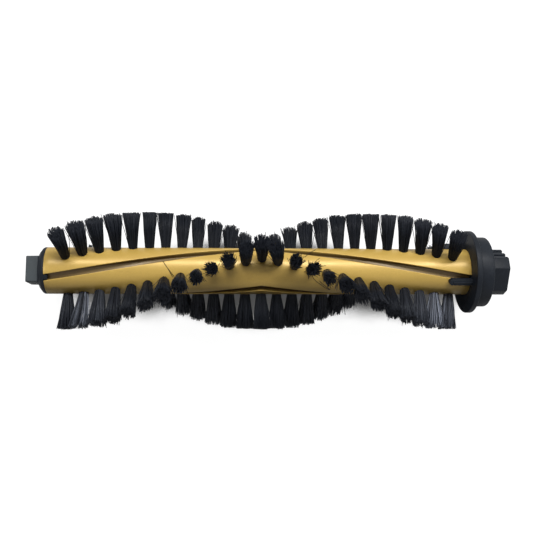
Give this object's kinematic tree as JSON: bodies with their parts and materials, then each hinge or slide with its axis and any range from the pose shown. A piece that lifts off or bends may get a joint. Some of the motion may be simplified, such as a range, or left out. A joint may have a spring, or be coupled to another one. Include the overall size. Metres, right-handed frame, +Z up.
{
  "type": "robot vacuum roller brush",
  "caption": "Cylindrical vacuum roller brush: grooved gold core with chevron rows of black bristle tufts, a square drive peg and a square-ended bearing cap that spins on the axle.",
  "frame": {"origin": "on the roller axis, half way along the whole length", "axes": "+X along the roller axis from the square drive peg to the bearing cap, +Z up as the brush lies on its bristles"},
  "size_m": [0.1656, 0.0408, 0.0402],
  "materials": {
    "gold_plastic": "satin metallic gold",
    "black_plastic": "satin moulded",
    "bristle": "nylon filament",
    "steel": "bright",
    "bronze": "sintered bronze"
  },
  "bodies": {
    "roller": {"core": "gold_plastic", "drive_cap": "black_plastic", "end_flange": "black_plastic", "axle_pin": "steel", "thrust_washer": "steel", "retaining_clip": "steel", "bristle_row_1_left": "bristle", "bristle_row_1_apex": "bristle", "bristle_row_1_right": "bristle", "bristle_row_2_left": "bristle", "bristle_row_2_apex": "bristle", "bristle_row_2_right": "bristle", "bristle_row_3_left": "bristle", "bristle_row_3_apex": "bristle", "bristle_row_3_right": "bristle", "staples_row_1": "steel", "staples_row_2": "steel", "staples_row_3": "steel"},
    "bearing_end": {"bearing_cap": "black_plastic", "bearing_bush": "bronze"}
  },
  "joints": [
    {"name": "bearing_spin", "type": "hinge", "parent": "roller", "child": "bearing_end", "pos_m": [0.0714, 0, 0], "axis": [1, 0, 0], "continuous": true}
  ]
}
